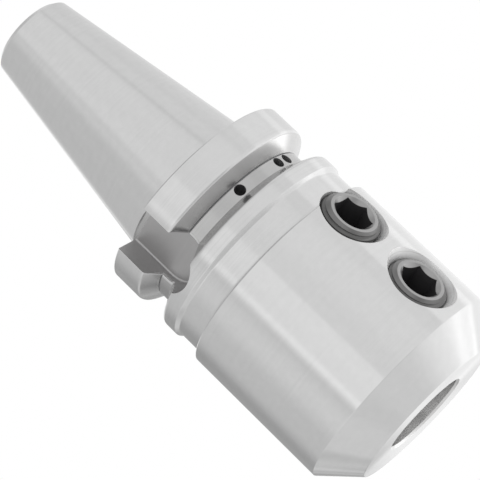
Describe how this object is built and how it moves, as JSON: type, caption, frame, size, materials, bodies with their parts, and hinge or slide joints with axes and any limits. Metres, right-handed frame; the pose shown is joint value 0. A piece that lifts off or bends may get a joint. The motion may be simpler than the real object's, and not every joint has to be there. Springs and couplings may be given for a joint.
{
  "type": "side lock end mill holder",
  "caption": "Steep taper tool holder: grooved drive flange above a bored body, whose side set screws press on the flats of a cutter shank.",
  "frame": {"origin": "centre of the flat nose face that the holder stands on", "axes": "+Z along the spindle axis, from the nose to the small end of the taper; the clamping screws point along -Y; the drive slots lie on +X and -X"},
  "size_m": [0.065, 0.065, 0.1554],
  "materials": {
    "ground_steel": "fine ground, satin",
    "screw_steel": "dark tempered steel, lightly oiled"
  },
  "bodies": {
    "holder": {"holder_body": "ground_steel"},
    "front_screw": {"front_set_screw": "screw_steel"},
    "rear_screw": {"rear_set_screw": "screw_steel"}
  },
  "joints": [
    {"name": "front_screw_slide", "type": "slide", "parent": "holder", "child": "front_screw", "axis": [0, -1, 0], "range_m": [-0.004, 0.014]},
    {"name": "rear_screw_slide", "type": "slide", "parent": "holder", "child": "rear_screw", "axis": [0, -1, 0], "range_m": [-0.004, 0.014]}
  ]
}
